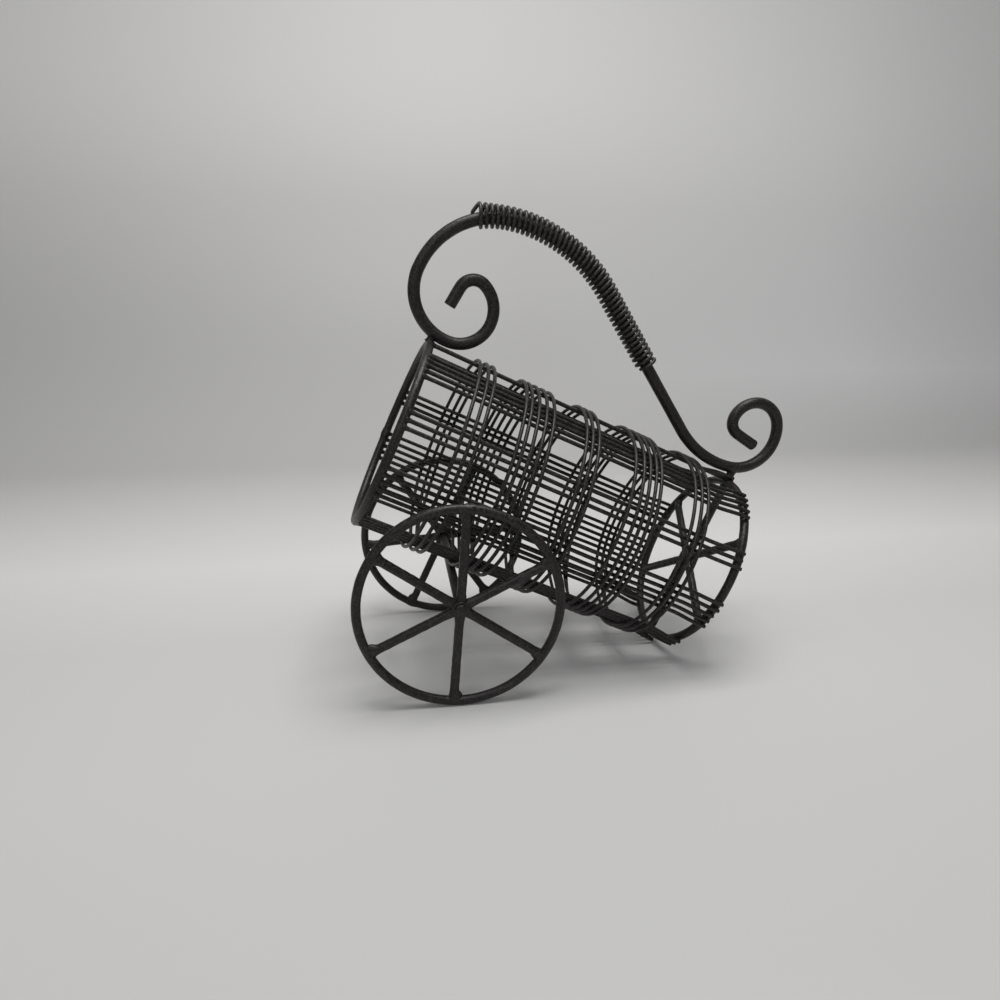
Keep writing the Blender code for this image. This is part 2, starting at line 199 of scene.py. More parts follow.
# %% A bead of weld
BEAD_RINGS = 12
BEAD_SIDES = 18
BEAD_ROUGHNESS = 0.18
BEAD_KNOBS = 1.7


def bead(centre, sizes, axes, seed):
    """A ball as rings between two poles, made knobbly by the field, then given three sizes along three axes.

    Ball = (sin a cos t, sin a sin t, -cos a), with a from pole to pole and t round it.
    """
    tall = np.linspace(0, np.pi, BEAD_RINGS + 2)[1:-1]
    turn = np.linspace(0, 2 * np.pi, BEAD_SIDES, endpoint=False)
    x = np.sin(tall)[:, None] * np.cos(turn)
    y = np.sin(tall)[:, None] * np.sin(turn)
    z = np.broadcast_to(-np.cos(tall)[:, None], x.shape)
    ball = np.stack([x, y, z], -1)
    ball = ball * (1 + BEAD_ROUGHNESS * wander(ball + seed, BEAD_KNOBS, seed))[..., None]
    return shell(np.array(centre) + (ball * np.array(sizes)) @ np.array(axes))


# %% [markdown]
# ## Putting a piece into the scene
# A finished piece is one mesh object at the origin. It rides on a body, so that a wheel's pieces turn with
# the wheel, and the CAD solids that it stands for are hidden.

# %% Make a piece
def mesh_object(name, points, faces, material):
    """One smooth mesh at the origin, in one material."""
    mesh = bpy.data.meshes.new(name)
    mesh.from_pydata(points.tolist(), [], faces)
    mesh.shade_smooth()
    mesh.materials.append(material)
    item = bpy.data.objects.new(name, mesh)
    bpy.context.scene.collection.objects.link(item)
    return item


def piece(name, shells, material, body, slot, *nodes):
    """Joins shells into one mesh, sets it on its body and puts it in the place of its CAD nodes."""
    points, faces, start = [], [], 0
    for places, corners in shells:
        points.append(places)
        faces += [[corner + start for corner in face] for face in corners]
        start += len(places)
    item = mesh_object(name, np.vstack(points), faces, material)
    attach(item, body)
    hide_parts(*nodes)
    return item


# %% [markdown]
# ## The paint
# The rods are mild steel, sprayed with a satin brown-black enamel. Sprayed paint of this kind varies at two
# sizes that the eye picks up. Patches some millimetres across are a little browner or blacker where the coat
# is thicker or has run. Over them lies a grit about a millimetre wide, of dust and dry spray: it mottles the
# colour with a paler brown-grey, makes the gloss uneven, and stands up as an orange peel that breaks the
# highlights. The same paint looks a little greyer on the wire and on the grip, where the coat is thin and
# hands rub it.
#
# One noise of each size does for all of that, so the colour, the gloss and the bumps agree with each other.

# %% A node in one call
def colour(code):
    """Linear colour of an sRGB hex code: value / 12.92 up to 0.04045, else ((value + 0.055) / 1.055)^2.4."""
    value = np.array([int(code[i:i + 2], 16) for i in (1, 3, 5)]) / 255
    linear = np.where(value <= 0.04045, value / 12.92, ((value + 0.055) / 1.055) ** 2.4)
    return (*linear.tolist(), 1.0)


def add(tree, kind, sockets=None, stops=(), **settings):
    """Adds a node with its settings. A socket given another node's output is linked, and others are set.

    The stops of a colour ramp are each a position and a hex colour. A new ramp has two stops already.
    """
    made = tree.nodes.new(kind)
    for name, value in settings.items():
        setattr(made, name, value)
    for number, (position, code) in enumerate(stops):
        there = made.color_ramp.elements
        stop = there[number] if number < 2 else there.new(position)
        stop.position = position
        stop.color = colour(code)
    for name, value in (sockets or {}).items():
        if isinstance(value, bpy.types.NodeSocket):
            tree.links.new(value, made.inputs[name])
        else:
            made.inputs[name].default_value = value
    return made


# %% Painted iron
PATCH_WIDTH = 9 * MM
PATCH_EDGES = (0.35, 0.68)
GRIT_WIDTH = 1 * MM
GRIT_EDGES = (0.35, 0.65)
MOTTLE_EDGES = (0.62, 0.86)
GLOSS_SWING = (-0.12, 0.14)
PEEL_HEIGHT = 0.25 * MM
RUN_HEIGHT = 0.5 * MM
RUN_STRENGTH = 0.25
ENAMEL_IOR = 1.42


def painted_iron(name, dark, light, mottle, mottle_share, roughness, peel):
    """Satin enamel on iron.

    dark and light are the colours of its patches. mottle is the paler colour of its grit, and a larger
    mottle_share lets more of it through. peel is how strongly the grit stands up.
    """
    material = bpy.data.materials.new(name)
    material.use_nodes = True
    tree = material.node_tree
    paint = tree.nodes["Principled BSDF"]
    where = add(tree, "ShaderNodeTexCoord").outputs["Object"]
    noise = {"Vector": where, "Detail": 3.0, "Roughness": 0.6}
    patches = add(tree, "ShaderNodeTexNoise", {**noise, "Scale": 1 / PATCH_WIDTH}).outputs["Fac"]
    grit = add(tree, "ShaderNodeTexNoise", {**noise, "Scale": 1 / GRIT_WIDTH}).outputs["Fac"]
    patch_colour = add(tree, "ShaderNodeValToRGB", {"Fac": patches}, zip(PATCH_EDGES, (dark, light)))
    mottled = add(tree, "ShaderNodeMapRange", {
        "Value": grit, "From Min": MOTTLE_EDGES[0] - mottle_share,
        "From Max": MOTTLE_EDGES[1] - mottle_share / 2})
    coat = add(tree, "ShaderNodeMix", {
        "Factor": mottled.outputs["Result"], "A": patch_colour.outputs["Color"], "B": colour(mottle)},
        data_type="RGBA")
    tree.links.new(coat.outputs["Result"], paint.inputs["Base Color"])
    gloss = add(tree, "ShaderNodeMapRange", {
        "Value": grit, "From Min": GRIT_EDGES[0], "From Max": GRIT_EDGES[1],
        "To Min": roughness + GLOSS_SWING[0], "To Max": roughness + GLOSS_SWING[1]})
    tree.links.new(gloss.outputs["Result"], paint.inputs["Roughness"])
    orange_peel = add(tree, "ShaderNodeBump", {"Height": grit, "Strength": peel, "Distance": PEEL_HEIGHT})
    runs = add(tree, "ShaderNodeBump", {
        "Height": patches, "Strength": RUN_STRENGTH, "Distance": RUN_HEIGHT,
        "Normal": orange_peel.outputs["Normal"]})
    tree.links.new(runs.outputs["Normal"], paint.inputs["Normal"])
    paint.inputs["Metallic"].default_value = 0.0
    paint.inputs["IOR"].default_value = ENAMEL_IOR
    return material


rod_enamel = painted_iron("satin_enamel_on_rod", "#0a0808", "#181413", "#453d3a", 0.14, 0.40, 0.75)
wire_enamel = painted_iron("thin_satin_enamel_on_wire", "#0c0a0a", "#1a1615", "#4c4643", 0.14, 0.42, 0.55)
grip_enamel = painted_iron("worn_satin_enamel_on_grip", "#110f0f", "#231f1e", "#5c5652", 0.16, 0.38, 0.50)
print("finishes:", rod_enamel.name, wire_enamel.name, grip_enamel.name)

# %% [markdown]
# ## Rings
# Four rings carry the cart: the two rims, the cage's front ring and the rim at its rear end. Each is a
# length of rod rolled into a hoop and welded end to end. The joint is ground down in a hurry, so it stays a
# little thicker than the rod, and that swelling is what tells a rolled ring from a cast one.

# %% Rolled and welded rings
RIM_ROD = 4.8 * MM
RIM_RADIUS = 50.6 * MM
FRONT_RING_RADIUS = 51.0 * MM
# The front ring is set back this far, so that its joint stays inside the measured model's box.
FRONT_RING_BACK = 0.2 * MM
ROD_SIDES = 20
RING_ROWS = 240
RING_DENTS = 0.04 * MM
DENT_LENGTH = 9 * MM
JOINT_SWELL = 0.42 * MM
SWELL_REACH = 2.2 * MM
JOINT_KNOBS = 0.105
KNOB_REACH = 2.4 * MM
KNOB_LENGTH = 2.2 * MM


def rolled_ring(centre, radius, first, second, joint_at, seed):
    """A rod bent round a centre, thicker and knobbly round its joint.

    Point of its line = centre + radius * (cos t * first + sin t * second). The swelling is a bell curve of
    the distance from the joint.
    """
    turn = np.linspace(0, 2 * np.pi, RING_ROWS, endpoint=False)
    outward = np.cos(turn)[:, None] * first + np.sin(turn)[:, None] * second
    from_joint = ((turn - joint_at + np.pi) % (2 * np.pi) - np.pi) * radius
    swell = JOINT_SWELL * bell(from_joint, SWELL_REACH)
    path = centre + radius * outward
    grid = rod(path, outward, RIM_ROD / 2 - RING_DENTS + swell, sides=ROD_SIDES, closed=True)
    grid = uneven(grid, RING_DENTS, DENT_LENGTH, seed)
    knobs = JOINT_KNOBS * bell(from_joint, KNOB_REACH)[:, None, None]
    middle = path[:, None]
    grid = middle + (grid - middle) * (1 + knobs * wander(grid, KNOB_LENGTH, seed + 1)[..., None])
    return shell(grid, closed=True)


UP = np.array((0.0, 0.0, 1.0))
FORWARD = np.array((1.0, 0.0, 0.0))
# In degrees from the top, how far the first spoke leans and where the rim's joint is, which is by a spoke.
WHEELS = {
    "near": {"lean": 4.8, "joint": 6.0, "rim_seed": 4, "spoke_seed": 80},
    "far": {"lean": 25.4, "joint": 205.4, "rim_seed": 3, "spoke_seed": 60},
}
FRONT_JOINT = math.radians(100)
REAR_JOINT = math.radians(75)

for side, facts in WHEELS.items():
    facts["centre"] = middle_of(f"{side}_wheel_rim")
    joint_at = math.radians(facts["joint"])
    facts["rim"] = rolled_ring(facts["centre"], RIM_RADIUS, UP, FORWARD, joint_at, facts["rim_seed"])
front_middle = FRONT + FRONT_RING_BACK * ALONG
front_hoop = rolled_ring(front_middle, FRONT_RING_RADIUS, OUT, ACROSS, FRONT_JOINT, seed=11)
rear_hoop = rolled_ring(REAR, RIM_RADIUS, OUT, ACROSS, REAR_JOINT, seed=12)
print("rim", round((RIM_RADIUS + RIM_ROD / 2) / MM, 1), "mm from its middle to its outside")

# %% [markdown]
# ## Spokes and hubs
# The spokes are short lengths of the same rod, welded at both ends. A weld leaves a fillet, so each spoke
# widens like a trumpet where it meets the rim, mostly in the wheel's plane, and no two fillets are alike.
# The width along the spoke is the rod's radius plus a bell curve at each end. A hub is a short turned
# sleeve: its outline is revolved round the axle, and the bore is left open for the axle to run in.

# %% Spokes with welded ends
HUB_RADIUS = 4.3 * MM
HUB_WIDTH = 7.0 * MM
HUB_EDGE = 0.5 * MM
BORE_RADIUS = 2.3 * MM
SPOKE_START = 3.4 * MM
SPOKE_END = RIM_RADIUS - 0.6 * MM
SPOKE_ROWS = 90
SPOKE_CROWDING = 0.9
# A spoke is this much thinner than the rod, in the wheel's plane and across it.
SPOKE_WEAR = (0.05 * MM, 0.10 * MM)
SPOKE_DENTS = 0.09 * MM
SPOKE_DENT_LENGTH = 5 * MM
RIM_FILLETS = (0.8 * MM, 1.7 * MM)
RIM_FILLET_REACHES = (1.6 * MM, 2.4 * MM)
RIM_FILLET_LEANS = (-0.7 * MM, 0.7 * MM)
RIM_FLATTENING = 0.25 * MM
HUB_FILLET = 0.4 * MM
HUB_FILLET_REACH = 2.4 * MM


def spoke(centre, direction, side, seed):
    """A rod from the hub to the middle of the rim's rod, with a fillet at each end.

    Half width = rod radius + fillet * a bell curve of the distance from the end, and the fillet at the rim
    leans to one side by a seeded amount.
    """
    chance = np.random.default_rng(seed)
    far = np.linspace(0, 1, SPOKE_ROWS) ** SPOKE_CROWDING * (SPOKE_END - SPOKE_START) + SPOKE_START
    from_rim = np.minimum(far - RIM_RADIUS + RIM_ROD / 2, 0)
    at_rim = bell(from_rim, chance.uniform(*RIM_FILLET_REACHES))
    at_hub = bell(np.maximum(far - HUB_RADIUS, 0), HUB_FILLET_REACH)
    lean = chance.uniform(*RIM_FILLET_LEANS) * at_rim
    square = np.cross(side, direction)
    path = centre + far[:, None] * direction + lean[:, None] * square
    width = RIM_ROD / 2 - SPOKE_WEAR[0] + chance.uniform(*RIM_FILLETS) * at_rim + HUB_FILLET * at_hub
    depth = RIM_ROD / 2 - SPOKE_WEAR[1] - RIM_FLATTENING * at_rim
    grid = rod(path, square, width, depth, sides=ROD_SIDES)
    return shell(uneven(grid, SPOKE_DENTS, SPOKE_DENT_LENGTH, seed))


def six_spokes(centre, first, second, side, lean, seed):
    """Spokes sixty degrees apart. Direction = cos a * first + sin a * second, with a from the lean."""
    angles = lean + np.arange(6) * math.pi / 3
    return [
        spoke(centre, math.cos(a) * first + math.sin(a) * second, side, seed + number)
        for number, a in enumerate(angles)
    ]


def turned(outline, centre, axis, side, steps=40):
    """An outline of (radius, height) revolved: centre + height * axis + radius * (cos, sin) across it."""
    outline = np.array(outline)
    turn = np.linspace(0, 2 * np.pi, steps, endpoint=False)
    across = np.cross(axis, side)
    round_it = np.cos(turn)[:, None] * side + np.sin(turn)[:, None] * across
    return centre + outline[:, 1, None, None] * axis + outline[:, 0, None, None] * round_it[None]


def softened(corners, edge, steps=4):
    """An outline whose corners are cut back by an edge length and rounded: each becomes a short curve.

    Curve = (1 - t)^2 * before + 2 t (1 - t) * corner + t^2 * after.
    """
    corners = np.array(corners)
    before = corners + unit(np.roll(corners, 1, 0) - corners) * edge
    after = corners + unit(np.roll(corners, -1, 0) - corners) * edge
    t = np.linspace(0, 1, steps)[None, :, None]
    curve = (1 - t) ** 2 * before[:, None] + 2 * t * (1 - t) * corners[:, None] + t**2 * after[:, None]
    return curve.reshape(-1, 2)


sleeve = softened([
    (BORE_RADIUS, -HUB_WIDTH / 2), (HUB_RADIUS, -HUB_WIDTH / 2), (HUB_RADIUS, HUB_WIDTH / 2),
    (BORE_RADIUS, HUB_WIDTH / 2)], HUB_EDGE)
for side, facts in WHEELS.items():
    sleeve_grid = turned(sleeve, facts["centre"], ACROSS, FORWARD)
    lean = math.radians(facts["lean"])
    spokes = six_spokes(facts["centre"], UP, FORWARD, ACROSS, lean, facts["spoke_seed"])
    facts["spokes"] = spokes + [shell(sleeve_grid, closed=True)]
print("hub", round(2 * HUB_RADIUS / MM, 1), "mm across and", round(HUB_WIDTH / MM, 1), "mm wide")

# %% [markdown]
# ## The wheels
# A wheel is two pieces, the rim and the spokes with their hub, and both ride on the wheel's own body. A drop
# of weld metal has stuck to the near rim. It is one bead, set on the rim's outside.

# %% Two wheels
NUB_AT = math.radians(21)
NUB_HEIGHT = 2.2 * MM
NUB_SIZES = (1.3 * MM, 1.2 * MM, 1.6 * MM)


def nub(centre):
    """A bead on a rim, at an angle from its top: centre + (rim radius + height) * outward."""
    outward = math.cos(NUB_AT) * UP + math.sin(NUB_AT) * FORWARD
    along_rim = math.cos(NUB_AT) * FORWARD - math.sin(NUB_AT) * UP
    place = centre + outward * (RIM_RADIUS + NUB_HEIGHT)
    return bead(place, NUB_SIZES, (along_rim, ACROSS, outward), seed=31)


WHEELS["near"]["extra"] = [nub(WHEELS["near"]["centre"])]
for side, facts in WHEELS.items():
    body = f"{side}_wheel"
    rim_parts = [facts["rim"]] + facts.get("extra", [])
    piece(f"{side}_rim_rod", rim_parts, rod_enamel, body, "rod_paint", f"{side}_wheel_rim")
    piece(f"{side}_spoke_rods", facts["spokes"], rod_enamel, body, "rod_paint", f"{side}_wheel_spokes")
print("wheels:", ", ".join(WHEELS))

# %% [markdown]
# ## The axle
# The axle is a plain rod with a thinner end that runs in the hub, and its tip is hammered over so that the
# wheel stays on. It is revolved in one outline, from one end's middle to the other's, and a few beads of
# weld hold it to the hoops that rest on it.

# %% Axle with peened ends
AXLE_RADIUS = 2.5 * MM
JOURNAL_RADIUS = 2.0 * MM
HEAD_RADIUS = 3.3 * MM
HEAD_THICKNESS = 1.3 * MM
SHOULDER_GAP = 0.3 * MM
AXLE_DENTS = 0.03 * MM
AXLE_DENT_LENGTH = 6 * MM
AXLE_BEAD = (1.5 * MM, 2.4 * MM, 0.9 * MM)
# Each bead's place along the cage and across it, and its seed.
AXLE_BEADS = ((-1.1 * MM, 1.5 * MM, 42), (1.6 * MM, -2.2 * MM, 43), (0.2 * MM, 5.0 * MM, 44))

axle_middle = middle_of("axle")
axle_end = float(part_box("axle")[1][1])
shoulder = WHEELS["far"]["centre"][1] - HUB_WIDTH / 2 - SHOULDER_GAP
head_foot = axle_end - HEAD_THICKNESS
half_outline = np.array([
    (0.5 * MM, axle_end), (2.0 * MM, axle_end), (2.6 * MM, axle_end - 0.15 * MM),
    (3.1 * MM, axle_end - 0.45 * MM), (HEAD_RADIUS, axle_end - 0.8 * MM), (3.25 * MM, head_foot + 0.1 * MM),
    (3.0 * MM, head_foot), (JOURNAL_RADIUS, head_foot), (JOURNAL_RADIUS, shoulder),
    (AXLE_RADIUS - 0.3 * MM, shoulder), (AXLE_RADIUS, shoulder - 0.3 * MM), (AXLE_RADIUS, 0)])
other_half = half_outline[-2::-1] * (1, -1)
outline = np.vstack([half_outline, other_half])[::-1]
axle_grid = turned(outline, axle_middle * (1, 0, 1), ACROSS, FORWARD)
axle_parts = [shell(uneven(axle_grid, AXLE_DENTS, AXLE_DENT_LENGTH, seed=41))]
weld_at = axle_middle + OUT * AXLE_RADIUS
for x, y, seed in AXLE_BEADS:
    axle_parts.append(bead(weld_at + ALONG * x + ACROSS * y, AXLE_BEAD, CAGE_AXES, seed))
piece("axle_rod", axle_parts, rod_enamel, "cart", "rod_paint", "axle")
print("axle", round(2 * axle_end / MM, 1), "mm over its heads")

# %% [markdown]
# ## The ends of the cage
# The front ring is open, and is the cage's mouth. The rear end is a spoked ring like a wheel, which closes
# the cage, with a plain boss in the middle. Its spokes and boss are made as the wheels' are, turned to the
# cage.

# %% Front ring and rear end
boss_outline = [
    (0.6 * MM, -3.5 * MM), (3.5 * MM, -3.5 * MM), (4.1 * MM, -3.3 * MM), (HUB_RADIUS, -2.9 * MM),
    (HUB_RADIUS, 2.9 * MM), (4.1 * MM, 3.3 * MM), (3.5 * MM, 3.5 * MM), (0.6 * MM, 3.5 * MM)]
boss = shell(turned(boss_outline, REAR, ALONG, OUT))
rear_spokes = six_spokes(REAR, OUT, ACROSS, ALONG, lean=0.0, seed=60)
piece("front_ring_rod", [front_hoop], rod_enamel, "cart", "rod_paint", "front_ring")
piece("rear_rim_rod", [rear_hoop], rod_enamel, "cart", "rod_paint", "rear_rim")
piece("rear_spoke_rods", rear_spokes + [boss], rod_enamel, "cart", "rod_paint", "rear_spokes")
print("front ring", round(2 * FRONT_RING_RADIUS / MM), "mm, rear rim", round(2 * RIM_RADIUS / MM), "mm wide")

# %% [markdown]
# ## Forty bars
# Thin wires run the length of the cage, in groups of three and five by turns. They weren't cut all alike, so
# the tips end on the rear rim at slightly different places, and each opens out gently near the end to lie
# over the rim. One wire stops short of it. A bar is straight but for that, so it takes few rows of points:
# close together in the flare and at the ends, and far apart between.

# %% One bar
BAR_RADIUS = 1.1 * MM
BAR_START = 0.9 * MM
BAR_REACH = 1.15 * MM
BAR_SHORTFALL = 0.9 * MM
UNEVEN_CUTS = 1.1 * MM
BAR_BOW = 0.50 * MM
BOW_LENGTH = 90 * MM
BAR_WELD = 0.55 * MM
BAR_WELD_REACH = 1.9 * MM
BAR_EDGE = 0.35 * MM
BAR_SIDES = 10
TIP_ROWS = 5
CAGE_RADIUS = 52.0 * MM
BAR_PITCH = 4.0 * MM
BAR_GAP = 0.2 * MM
OVER_RIM = RIM_RADIUS + RIM_ROD / 2 + BAR_GAP + BAR_RADIUS
FLARE_LENGTH = 18 * MM
FLARE_TO_RIM = 2.4 * MM
FLARE_START = CAGE_LENGTH - FLARE_TO_RIM - FLARE_LENGTH
# Rows of points in the weld at the front, along the straight and in the flare.
BAR_ROWS = np.concatenate([
    np.array((0.9, 1.25, 1.7, 2.5, 3.5, 4.0, 7.0)) * MM,
    np.linspace(14 * MM, FLARE_START, 9),
    FLARE_START + np.linspace(0, FLARE_LENGTH, 8)[1:],
])


def cage_bar(angle, long, seed):
    """A wire at an angle round the cage.

    Its distance from the cage's line eases from one radius to the other over the flare, and the wire bows a
    little by the wandering field. It thickens into a small weld where it meets the front ring.
    """
    chance = np.random.default_rng(seed)
    tip = CAGE_LENGTH + (BAR_REACH - chance.uniform(0, UNEVEN_CUTS) if long else -BAR_SHORTFALL)
    quarter = np.linspace(0, np.pi / 2, TIP_ROWS)
    places = np.concatenate([BAR_ROWS, tip - BAR_EDGE * (1 - np.sin(quarter))])
    t = np.clip((places - FLARE_START) / FLARE_LENGTH, 0, 1) if long else np.zeros_like(places)
    radius = CAGE_RADIUS + (OVER_RIM - CAGE_RADIUS) * eased(t)
    line = in_cage(places, -radius * math.sin(angle), radius * math.cos(angle))
    outward = -math.sin(angle) * ACROSS + math.cos(angle) * OUT
    held = np.sin(np.pi * np.clip(places / CAGE_LENGTH, 0, 1))
    bow = wander(line, BOW_LENGTH, seed) * BAR_BOW * held
    path = line + bow[:, None] * np.cross(ALONG, outward)
    thickness = BAR_RADIUS + BAR_WELD * bell(places - BAR_START, BAR_WELD_REACH)
    thickness[-TIP_ROWS:] -= BAR_EDGE * (1 - np.cos(quarter))
    return shell(rod(path, outward, thickness, sides=BAR_SIDES))


# %% All the bars
GROUP_SIZES = (3, 5)
GROUPS = 10
SHORT_BAR = 2

bar_number = 0
for group in range(GROUPS):
    size = GROUP_SIZES[group % 2]
    for place in range(size):
        bar_number += 1
        angle = group * 2 * math.pi / GROUPS + (place - (size - 1) / 2) * BAR_PITCH / CAGE_RADIUS
        bar = cage_bar(angle, bar_number != SHORT_BAR, 100 + bar_number)
        piece(f"bar_wire_{bar_number:02d}", [bar], wire_enamel, "cart", "wire_paint",
              f"cage_bar_{bar_number:02d}")
print(bar_number, "bars of", round(2 * BAR_RADIUS / MM, 1), "mm wire")

# %% [markdown]
# ## Hoops
# Wire is wound round the bars in five groups of three and five loops. A loop lies almost flat, and steps on
# to the next one low on the far side, where it can't be seen. The winder's hand shows in the spacing, which
# is never quite even, so the loops' places are given one by one, and each group leans in its own way.

# %% Windings
HOOP_RADIUS = 54.4 * MM
HOOP_WIRE_RADIUS = 1.0 * MM
HOOP_ENDS = (0.45, 0.8, 0.95, 1.0)
LOOP_ROWS = 72
# A winding starts just past the bottom of the cage. In turns, the last part of a loop steps on to the next
# one, and the wire is cut a little short of a whole turn.
LOOP_START = math.pi + 0.16
LOOP_STEP_SHARE = 0.16
LOOP_END_GAP = 0.012
HOOP_SWAY = 0.12 * MM
HOOP_DRIFT = 0.10 * MM
HOOP_DRIFT_RATE = 0.37
HOOP_RIPPLE = 0.10 * MM
# Places of the loops along the cage in millimetres, group by group, and how far each group leans.
LOOP_PLACES = (
    (28.5, 33.1, 36.9),
    (56.1, 59.2, 63.5, 68.0, 72.3),
    (91.5, 95.0, 98.9),
    (121.2, 126.3, 130.2, 134.1, 137.3),
    (158.0, 162.2, 166.4),
)
LOOP_LEANS = (0.9, 1.7, 1.8, 2.0, 1.3)


def winding(places, lean, seed):
    """One wire of several loops.

    At turn u its place along the cage is that of loop floor(u), eased to the next one's over the last sixth
    of the turn, and its direction from the cage's line is 2 pi u from the start at the bottom. The loops
    lean: the top lies ahead of the place by the lean, and the bottom behind it. The radius ripples with the
    ten groups of bars under it.
    """
    places = np.array(places) * MM
    turns = len(places)
    u = np.linspace(0, turns - LOOP_END_GAP, turns * LOOP_ROWS)
    loop = np.minimum(u.astype(int), turns - 1)
    t = np.clip((u - loop - 1 + LOOP_STEP_SHARE) / LOOP_STEP_SHARE, 0, 1)
    ahead = places[np.minimum(loop + 1, turns - 1)]
    x = places[loop] + (ahead - places[loop]) * eased(t)
    angle = LOOP_START - 2 * np.pi * u
    sway = HOOP_SWAY * np.cos(3 * angle + seed) + HOOP_DRIFT * np.sin(HOOP_DRIFT_RATE * u * np.pi)
    x = x - lean * MM * np.cos(angle) + sway
    radius = HOOP_RADIUS + HOOP_RIPPLE * np.cos(GROUPS * angle)
    path = in_cage(x, -radius * np.sin(angle), radius * np.cos(angle))
    outward = -np.sin(angle)[:, None] * ACROSS + np.cos(angle)[:, None] * OUT
    return shell(rod(path, outward, HOOP_WIRE_RADIUS * rounded_ends(len(u), HOOP_ENDS), sides=BAR_SIDES))


for number, (places, lean) in enumerate(zip(LOOP_PLACES, LOOP_LEANS), start=1):
    piece(f"hoop_wire_{number}", [winding(places, lean, 200 + number)], wire_enamel, "cart", "wire_paint",
          f"hoop_winding_{number}")
print(sum(len(places) for places in LOOP_PLACES), "loops in", len(LOOP_PLACES), "windings")

# %% [markdown]
# ## The handle
# One rod is bent cold round pins into a scroll, a long arch and a second scroll. A bend round a pin is an
# arc, so the handle is a list of arcs and straights. Adding up the turns gives the heading where each bend
# ends, the heading between is read off in proportion, and adding up the directions gives the place. The
# heading is blurred over a millimetre or two first, because a rod never goes from straight to bent at once.

# %% The handle's line
HANDLE_ROD = 6.6 * MM
# The rod starts inside the front scroll, at this place and heading.
HANDLE_START_X = CAGE_LENGTH * 0.0117
HANDLE_START_Z = FRONT_RING_RADIUS + CAGE_LENGTH * 0.1188
HANDLE_HEADING = math.radians(82.49)
# Radius of each bend as a share of the cage's length, and its turn in degrees. A turn of 0 is a straight, and
# the share is its length.
BENDS = (
    (0.0572, 0.0),
    (0.0418, 105.0),
    (0.0927, 153.2),
    (0.1407, 96.2),
    (0.2283, 74.5),
    (0.4166, 46.4),
    (0.4650, 0.0),
    (0.2718, -43.9),
    (0.1161, -113.1),
    (0.0751, -143.1),
    (0.0401, -84.0),
    (0.0702, 0.0),
)
SAMPLES = 2400
BLUR_SAMPLES = 30
BLUR_LENGTH = 1.2 * MM


def added_up(steps):
    """The running total of some steps, from 0."""
    return np.concatenate([[0], np.cumsum(steps)])


size, degrees = np.array(BENDS).T
size = size * CAGE_LENGTH
swing = np.radians(degrees)
ends = added_up(np.where(swing == 0, size, np.abs(swing) * size))
HANDLE_LENGTH = float(ends[-1])
run = np.linspace(0, HANDLE_LENGTH, SAMPLES)
step = run[1] - run[0]
heading = HANDLE_HEADING - np.interp(run, ends, added_up(swing))
blur = bell(np.arange(-BLUR_SAMPLES, BLUR_SAMPLES + 1) * step, BLUR_LENGTH)
heading = np.convolve(np.pad(heading, BLUR_SAMPLES, mode="edge"), blur / blur.sum(), mode="valid")
halfway = (heading[1:] + heading[:-1]) / 2
handle_x = HANDLE_START_X + added_up(np.cos(halfway)) * step
handle_z = HANDLE_START_Z + added_up(np.sin(halfway)) * step


def on_handle(places):
    """The handle's place along the cage, its height and its heading at lengths along it, between samples."""
    return tuple(np.interp(places, run, values) for values in (handle_x, handle_z, heading))


print("handle's line", round(HANDLE_LENGTH / MM), "mm in", len(BENDS), "straights and bends")

# %% The handle's rod
HANDLE_STEP = 1.6 * MM
HANDLE_DENTS = 0.06 * MM
HANDLE_DENT_LENGTH = 11 * MM
FRONT_EDGE = 0.35 * MM
REAR_EDGE = 0.9 * MM
HANDLE_SIDES = 28

places = stations(HANDLE_LENGTH, HANDLE_STEP, REAR_EDGE)
x, z, _ = on_handle(places)
cut = np.where(places < HANDLE_LENGTH / 2, less_at_ends(places, HANDLE_LENGTH, FRONT_EDGE),
               less_at_ends(places, HANDLE_LENGTH, REAR_EDGE))
handle_radius = HANDLE_ROD / 2 - HANDLE_DENTS - cut
handle_grid = rod(in_cage(x, 0, z), ACROSS, handle_radius, sides=HANDLE_SIDES)
handle = shell(uneven(handle_grid, HANDLE_DENTS, HANDLE_DENT_LENGTH, seed=71))
piece("handle_rod", [handle], rod_enamel, "cart", "rod_paint", "handle")
print("handle", len(places), "rows of", round(HANDLE_ROD / MM, 1), "mm rod")

# %% [markdown]
# ## The grip
# A wire is coiled round the handle as a grip. It starts from a short tail on top of the rod, rises into
# loose curls that slant and stand off the rod, and closes on the rod again at the other end. Place =
# handle's line + lift * out + radius * (cos a * out - sin a * across), with the angle and the place along
# the handle both growing with the wire.

# %% The coil's sizes
COIL_CURLS = 44.5
COIL_WIRE_RADIUS = 1.0 * MM
COIL_ENDS = (0.5, 0.85, 1.0)
CURL_ROWS = 26
COIL_START = 0.3353 * HANDLE_LENGTH
COIL_END = 0.6025 * HANDLE_LENGTH
OPEN_RADIUS = 5.1 * MM
HELD_SINK = 0.15 * MM
HELD_RADIUS = HANDLE_ROD / 2 + COIL_WIRE_RADIUS - HELD_SINK
COIL_LIFT = 0.5 * MM
CLOSING_CURLS = 0.45
COIL_SWAY = 0.10 * MM
COIL_SWAY_RATE = 0.9
LAST_CURL_GAP = 0.9 * MM
# The first curls are looser over this many, and larger, lifted and slanted by these amounts.
LOOSE_CURLS = 2.3
SWELL = 0.34 * MM
LOOSE_LIFT = 0.84 * MM
SLANT = 1.3 * MM
